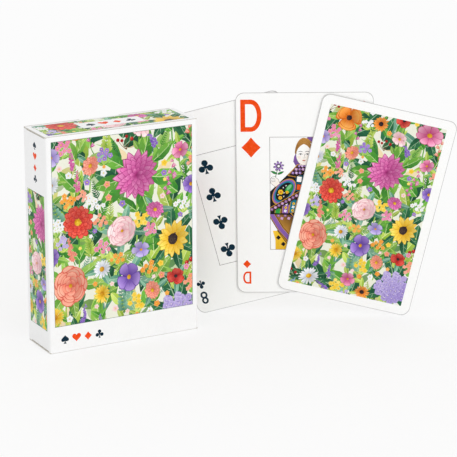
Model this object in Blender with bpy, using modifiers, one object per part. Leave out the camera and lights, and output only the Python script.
"""A playing card deck: a folding tuck carton with 51 cards inside and three cards fanned out beside it.

Run with blender --background --python part.py, or from Blender's text editor. Metres, +Z up.
The origin is the middle of the carton's bottom face, with the printed front towards -Y.
"""
from math import cos, hypot, pi, radians, sin

import bmesh
import bpy
from mathutils import Matrix, Vector

MM = 0.001

# Cards
CARD_WIDTH = 58 * MM
CARD_HEIGHT = 88 * MM
CARD_THICKNESS = 0.3 * MM
CARD_CORNER_RADIUS = 3.5 * MM
CARD_CORNER_STEPS = 5
STACK_GAP = 0.02 * MM

# Carton board and how loosely the deck sits in it
BOARD = 0.45 * MM
FOLD_RADIUS = 0.5 * MM
FOLD_STEPS = 3
GLUE_LINE = 0.1 * MM
LAYER_GAP = 0.2 * MM
CREASE_GAP = 0.2 * MM
SIDE_PLAY = 4.5 * MM
FRONT_PLAY = 0.3 * MM
TUCK_PLAY = 4.6 * MM
HEAD_PLAY = 0.9 * MM

# Flaps of the carton
GLUE_FLAP_WIDTH = 12 * MM
TUCK_REACH = 14 * MM
TUCK_TILT = radians(6)
TUCK_CLEARANCE = 0.5 * MM
TUCK_SIDE_CLEARANCE = 1.5 * MM
TUCK_TIP_INSET = 2.5 * MM
TUCK_TIP_RADIUS = 6 * MM
DUST_REACH = 18 * MM
DUST_FRONT_CLEARANCE = 0.9 * MM
DUST_BACK_CLEARANCE = 3 * MM
DUST_FRONT_TAPER = 6 * MM
DUST_BACK_TAPER = 2 * MM
DUST_TIP_RADIUS = 3 * MM
TIP_STEPS = 6
NOSE_STEPS = 4
NOSE_SHARE = 0.48
EDGE_SETBACK = 0.15 * MM
THUMB_NOTCH_RADIUS = 9 * MM
THUMB_NOTCH_SIDES = 48

# Three cards fanned out on the ground behind the carton's right side
FAN_YAW = radians(-30)
FAN_SETBACK = 1.2 * MM
FAN_GAP = 0.3 * MM
EIGHT_REACH = 27.8 * MM
EIGHT_TILT = radians(14.8)
QUEEN_REACH = 56 * MM
QUEEN_TILT = radians(0.75)
QUEEN_LIFT = 9.5 * MM
ACE_REACH = 82.2 * MM
ACE_TILT = radians(-12.75)

# Looks
CARD_WHITE = (0.90, 0.89, 0.87)
BOARD_WHITE = (0.88, 0.88, 0.87)
CARD_ROUGHNESS = 0.35
BOARD_ROUGHNESS = 0.55

OBJECT_NAME = "playing_card_deck"
SUITS = ("spades", "hearts", "diamonds", "clubs")
RANKS = ("ace", "two", "three", "four", "five", "six", "seven",
         "eight", "nine", "ten", "jack", "queen", "king")
JOKERS = ("red_joker", "black_joker")
FANNED = ("eight_of_clubs", "queen_of_diamonds", "ace_of_hearts")

PACK = [*JOKERS, *(f"{rank}_of_{suit}" for suit in SUITS for rank in RANKS)]
BOXED = [card for card in PACK if card not in FANNED]

# Sizes that follow from the ones above
CARD_PITCH = CARD_THICKNESS + STACK_GAP
STACK_DEPTH = len(BOXED) * CARD_PITCH - STACK_GAP
INNER_WIDTH = CARD_WIDTH + 2 * SIDE_PLAY
INNER_DEPTH = FRONT_PLAY + STACK_DEPTH + TUCK_PLAY
OUTER_WIDTH = INNER_WIDTH + 2 * BOARD
OUTER_DEPTH = INNER_DEPTH + 2 * BOARD
STACK_FLOOR = 2 * (BOARD + LAYER_GAP)
DUST_LEVEL = STACK_FLOOR + CARD_HEIGHT + HEAD_PLAY + BOARD / 2
LID_LEVEL = DUST_LEVEL + BOARD + LAYER_GAP
OUTER_HEIGHT = LID_LEVEL + BOARD / 2
LID_CREASE_Y = -OUTER_DEPTH / 2 + BOARD / 2
LID_END_Y = INNER_DEPTH / 2 - TUCK_CLEARANCE
TUCK_CREASE_Y = LID_END_Y - BOARD
TUCK_WIDTH = INNER_WIDTH - 2 * TUCK_SIDE_CLEARANCE
SIDE_CREASE_X = OUTER_WIDTH / 2 - BOARD / 2
DUST_WIDTH = INNER_DEPTH - DUST_FRONT_CLEARANCE - DUST_BACK_CLEARANCE
DUST_MIDDLE_Y = (DUST_FRONT_CLEARANCE - DUST_BACK_CLEARANCE) / 2


def clear_scene():
    """Remove every object of the open scene."""
    for thing in list(bpy.data.objects):
        bpy.data.objects.remove(thing, do_unlink=True)


def new_collection(name):
    """Add a collection of that name to the scene."""
    collection = bpy.data.collections.new(name)
    bpy.context.scene.collection.children.link(collection)
    return collection


def paper(name, colour, roughness):
    """A Principled material for coated card or board."""
    material = bpy.data.materials.new(name)
    material.use_nodes = True
    shader = material.node_tree.nodes["Principled BSDF"]
    shader.inputs["Base Color"].default_value = (*colour, 1.0)
    shader.inputs["Roughness"].default_value = roughness
    shader.inputs["Metallic"].default_value = 0.0
    return material


def finish(shape, name, collection, colour=None, roughness=BOARD_ROUGHNESS):
    """Turn a bmesh into a named object, with its own material if a colour is given."""
    mesh = bpy.data.meshes.new(name)
    bmesh.ops.recalc_face_normals(shape, faces=shape.faces)
    shape.to_mesh(mesh)
    shape.free()
    thing = bpy.data.objects.new(name, mesh)
    collection.objects.link(thing)
    if colour:
        mesh.materials.append(paper(f"{name}_stock", colour, roughness))
        mesh.shade_smooth()
        mesh.set_sharp_from_angle(angle=radians(30))
    return thing


def empty(name, collection, location, turn=0.0):
    """A guide that other objects are parented to, turned about Z."""
    guide = bpy.data.objects.new(name, None)
    guide.location = location
    guide.rotation_euler = (0, 0, turn)
    collection.objects.link(guide)
    return guide


def block(low, high):
    """A box between two corners, as a bmesh."""
    shape = bmesh.new()
    low, high = Vector(low), Vector(high)
    bmesh.ops.create_cube(shape, size=1.0)
    bmesh.ops.scale(shape, vec=high - low, verts=shape.verts)
    bmesh.ops.translate(shape, vec=(low + high) / 2, verts=shape.verts)
    return shape


def edges_along(shape, axis, keep=None):
    """The edges that run along one axis (0, 1 or 2), narrowed by a test on their middle."""
    found = []
    for edge in shape.edges:
        start, end = (vert.co for vert in edge.verts)
        others = [abs(start[i] - end[i]) for i in range(3) if i != axis]
        if abs(start[axis] - end[axis]) > max(others) and (keep is None or keep((start + end) / 2)):
            found.append(edge)
    return found


def round_edges(shape, edges, radius, steps):
    """Round some edges of a bmesh with an arc of that many steps."""
    bmesh.ops.bevel(shape, geom=edges, offset=radius, segments=steps, profile=0.5, affect="EDGES")


def cut(thing, tool, operation="DIFFERENCE"):
    """Cut an object with a tool, or join the tool to it."""
    tool.hide_render = True
    tool.display_type = "WIRE"
    step = thing.modifiers.new(tool.name, "BOOLEAN")
    step.operation = operation
    step.object = tool


def card(name, collection):
    """One card standing upright round its middle, with its face towards -Y."""
    half = Vector((CARD_WIDTH, CARD_THICKNESS, CARD_HEIGHT)) / 2
    shape = block(-half, half)
    round_edges(shape, edges_along(shape, 1), CARD_CORNER_RADIUS, CARD_CORNER_STEPS)
    return finish(shape, name, collection, CARD_WHITE, CARD_ROUGHNESS)


def flap_shape(width, reach, insets=(0.0, 0.0), tip_radius=0.0):
    """A flap of board with its crease on local X and its tip towards +Y.

    The crease end is rounded about the crease, so the flap turns in its own space. The insets
    draw the tip in at its -X and +X sides.
    """
    shape = block((-width / 2, -BOARD / 2, -BOARD / 2), (width / 2, reach, BOARD / 2))
    draw_in_tip(shape, insets, tip_radius)
    nose = edges_along(shape, 0, lambda middle: middle.y < 0)
    round_edges(shape, nose, NOSE_SHARE * BOARD, NOSE_STEPS)
    return shape


def tuck_shape():
    """A tuck flap that hangs from a crease on local X, with its inner face on the crease line."""
    shape = block((-TUCK_WIDTH / 2, CREASE_GAP, 0), (TUCK_WIDTH / 2, TUCK_REACH, BOARD))
    draw_in_tip(shape, (TUCK_TIP_INSET, TUCK_TIP_INSET), TUCK_TIP_RADIUS)
    return shape


def draw_in_tip(shape, insets, radius):
    """Narrow a flap towards its +Y end and round the corners there."""
    tip = max(vert.co.y for vert in shape.verts)
    for vert in shape.verts:
        if vert.co.y == tip:
            vert.co.x += insets[0] if vert.co.x < 0 else -insets[1]
    if radius:
        corners = edges_along(shape, 2, lambda middle: middle.y == tip)
        round_edges(shape, corners, radius, TIP_STEPS)


def carton_sleeve(collection, tools):
    """The four walls, folded from one strip whose glue flap lies inside the right wall."""
    wall_x, wall_y = SIDE_CREASE_X, OUTER_DEPTH / 2 - BOARD / 2
    glue_x = wall_x - BOARD - GLUE_LINE
    plan = [(wall_x, OUTER_DEPTH / 2), (wall_x, -wall_y), (-wall_x, -wall_y), (-wall_x, wall_y),
            (glue_x, wall_y), (glue_x, wall_y - GLUE_FLAP_WIDTH)]
    low, high = EDGE_SETBACK, OUTER_HEIGHT - EDGE_SETBACK

    shape = bmesh.new()
    foot = [shape.verts.new((x, y, low)) for x, y in plan]
    rims = [shape.edges.new(pair) for pair in zip(foot, foot[1:])]
    raised = bmesh.ops.extrude_edge_only(shape, edges=rims)["geom"]
    top = [item for item in raised if isinstance(item, bmesh.types.BMVert)]
    bmesh.ops.translate(shape, vec=(0, 0, high - low), verts=top)
    for vert in shape.verts:
        if abs(vert.co.y - plan[-1][1]) < GLUE_LINE:
            vert.co.z += GLUE_FLAP_WIDTH if vert.co.z < OUTER_HEIGHT / 2 else -GLUE_FLAP_WIDTH
    sleeve = finish(shape, "carton_sleeve", collection, BOARD_WHITE)

    folds = sleeve.modifiers.new("folds", "BEVEL")
    folds.limit_method = "ANGLE"
    folds.width = FOLD_RADIUS
    folds.segments = FOLD_STEPS
    walls = sleeve.modifiers.new("board", "SOLIDIFY")
    walls.thickness = BOARD
    walls.offset = 0
    walls.use_even_offset = True

    trim_carton_ends(sleeve, tools)
    for side, name in ((-1, "left"), (1, "right")):
        cut(sleeve, bottom_dust_flap(name, side, tools), "UNION")
    cut(sleeve, thumb_notch(tools))
    return sleeve


def trim_carton_ends(sleeve, tools):
    """Lower the front and side walls to leave room for the layers that fold over them."""
    spare = 2 * BOARD
    over, under = OUTER_HEIGHT + spare, -spare
    front_top = LID_LEVEL - BOARD / 2 - CREASE_GAP
    front_foot = BOARD + CREASE_GAP
    side_top = DUST_LEVEL - BOARD / 2 - CREASE_GAP
    side_foot = BOARD + LAYER_GAP
    front = (-OUTER_DEPTH / 2 - spare, -INNER_DEPTH / 2)
    side = (-INNER_DEPTH / 2 - BOARD / 2, INNER_DEPTH / 2)
    spans = {"front_top": ((-OUTER_WIDTH, OUTER_WIDTH), front, (front_top, over)),
             "front_foot": ((-OUTER_WIDTH, OUTER_WIDTH), front, (under, front_foot))}
    for name, inner in (("left", -INNER_WIDTH / 2 + 2 * spare), ("right", INNER_WIDTH / 2 - 2 * spare)):
        across = sorted((inner, OUTER_WIDTH if inner > 0 else -OUTER_WIDTH))
        spans[f"{name}_top"] = (across, side, (side_top, over))
        spans[f"{name}_foot"] = (across, side, (under, side_foot))
    for name, span in spans.items():
        low, high = zip(*span)
        cut(sleeve, finish(block(low, high), f"trim_{name}", tools))


def bottom_dust_flap(name, side, tools):
    """A flap folded in under the deck, part of the same sheet as its side wall."""
    shape = flap_shape(DUST_WIDTH, DUST_REACH, (DUST_BACK_TAPER, DUST_BACK_TAPER), DUST_TIP_RADIUS)
    flap = finish(shape, f"{name}_bottom_dust_flap", tools)
    flap.location = (side * SIDE_CREASE_X, DUST_MIDDLE_Y, BOARD + LAYER_GAP + BOARD / 2)
    flap.rotation_euler = (0, 0, side * pi / 2)
    return flap


def thumb_notch(tools):
    """A round bite out of the back wall's top edge, to push the tuck flap out with a thumb."""
    shape = bmesh.new()
    bmesh.ops.create_cone(shape, cap_ends=True, segments=THUMB_NOTCH_SIDES, radius1=THUMB_NOTCH_RADIUS,
                          radius2=THUMB_NOTCH_RADIUS, depth=4 * BOARD)
    notch = finish(shape, "thumb_notch", tools)
    notch.location = (0, INNER_DEPTH / 2 + BOARD / 2, OUTER_HEIGHT)
    notch.rotation_euler = (pi / 2, 0, 0)
    return notch


def carton_bottom(collection, tools):
    """The bottom panel, with its tuck flap turned up inside the back wall."""
    shape = flap_shape(OUTER_WIDTH, LID_END_Y - LID_CREASE_Y)
    bottom = finish(shape, "carton_bottom", collection, BOARD_WHITE)
    bottom.location = (0, LID_CREASE_Y, BOARD / 2)

    tuck = finish(tuck_shape(), "bottom_tuck", tools)
    tuck.location = (0, LID_END_Y, 0)
    tuck.rotation_euler = (pi / 2, 0, 0)
    cut(bottom, tuck, "UNION")
    return bottom


def lid_panel(collection):
    """The lid, creased along the top of the front wall."""
    shape = flap_shape(OUTER_WIDTH, LID_END_Y - LID_CREASE_Y)
    lid = finish(shape, "lid_panel", collection, BOARD_WHITE)
    lid.location = (0, LID_CREASE_Y, LID_LEVEL)
    return lid


def lid_tuck_flap(collection):
    """The tuck flap, creased along the lid's free edge and slipped inside the back wall."""
    tuck = finish(tuck_shape(), "lid_tuck_flap", collection, BOARD_WHITE)
    tuck.location = (0, TUCK_CREASE_Y, LID_LEVEL - BOARD / 2)
    tuck.rotation_euler = (-pi / 2 - TUCK_TILT, 0, 0)
    return tuck


def dust_flap(name, side, collection):
    """A dust flap under the lid, creased along the top of a side wall (-1 left, 1 right)."""
    insets = (DUST_FRONT_TAPER, DUST_BACK_TAPER)
    shape = flap_shape(DUST_WIDTH, DUST_REACH, insets if side > 0 else insets[::-1], DUST_TIP_RADIUS)
    flap = finish(shape, name, collection, BOARD_WHITE)
    flap.location = (side * SIDE_CREASE_X, DUST_MIDDLE_Y, DUST_LEVEL)
    flap.rotation_euler = (0, 0, side * pi / 2)
    return flap


def boxed_deck(collection):
    """The cards in the carton, standing face to back against the front wall."""
    first = -INNER_DEPTH / 2 + FRONT_PLAY + CARD_THICKNESS / 2
    deck = empty("deck", collection, (0, first, STACK_FLOOR + CARD_HEIGHT / 2))
    for place, name in enumerate(BOXED):
        boxed = card(name, collection)
        boxed.parent = deck
        boxed.location = (0, place * CARD_PITCH, 0)


def standing_height(tilt):
    """How high a tilted card's middle is when its low rounded corner rests on the ground."""
    across = CARD_WIDTH / 2 - CARD_CORNER_RADIUS
    along = CARD_HEIGHT / 2 - CARD_CORNER_RADIUS
    return along * cos(tilt) + across * abs(sin(tilt)) + CARD_CORNER_RADIUS


def swivel_centre(pose, target):
    """The point in the fan's plane about which one card's pose turns into another's."""
    (x, z, tilt), (to_x, to_z, to_tilt) = pose, target
    turn = to_tilt - tilt
    reach = hypot(to_x - x, to_z - z) / 2 / sin(turn / 2)
    across = Vector((to_x - x, to_z - z)).normalized()
    middle = Vector((x + to_x, z + to_z)) / 2
    return middle + Vector((-across.y, across.x)) * reach * cos(turn / 2)


def card_fan(collection):
    """Three cards spread upright: the eight behind the queen, and an ace seen from its back in front."""
    corner = Vector((OUTER_WIDTH / 2, OUTER_DEPTH / 2, 0))
    facing = Matrix.Rotation(FAN_YAW, 3, "Z") @ Vector((0, -1, 0))
    fan = empty("fan", collection, corner - facing * FAN_SETBACK, FAN_YAW)
    layer = CARD_THICKNESS + FAN_GAP

    queen_pose = (QUEEN_REACH, standing_height(QUEEN_TILT) + QUEEN_LIFT, QUEEN_TILT)
    queen = card("queen_of_diamonds", collection)
    queen.parent = fan
    queen.location = (queen_pose[0], 0, queen_pose[1])
    queen.rotation_euler = (0, -QUEEN_TILT, 0)

    for name, reach, tilt, depth, turned in (("eight_of_clubs", EIGHT_REACH, EIGHT_TILT, layer, 0),
                                             ("ace_of_hearts", ACE_REACH, ACE_TILT, -layer, pi)):
        pose = (reach, standing_height(tilt), tilt)
        centre = swivel_centre(pose, queen_pose)
        swivel = empty(f"{name}_swivel", collection, (centre.x, depth, centre.y))
        swivel.parent = fan
        fanned = card(name, collection)
        fanned.parent = swivel
        fanned.location = (pose[0] - centre.x, 0, pose[1] - centre.y)
        fanned.rotation_euler = (0, -tilt if turned == 0 else tilt, turned)


def main():
    """Build the carton, the deck in it and the fan beside it."""
    clear_scene()
    parts = new_collection(OBJECT_NAME)
    tools = new_collection("cutting_tools")
    carton_sleeve(parts, tools)
    carton_bottom(parts, tools)
    lid_panel(parts)
    lid_tuck_flap(parts)
    dust_flap("left_dust_flap", -1, parts)
    dust_flap("right_dust_flap", 1, parts)
    boxed_deck(parts)
    card_fan(parts)


main()
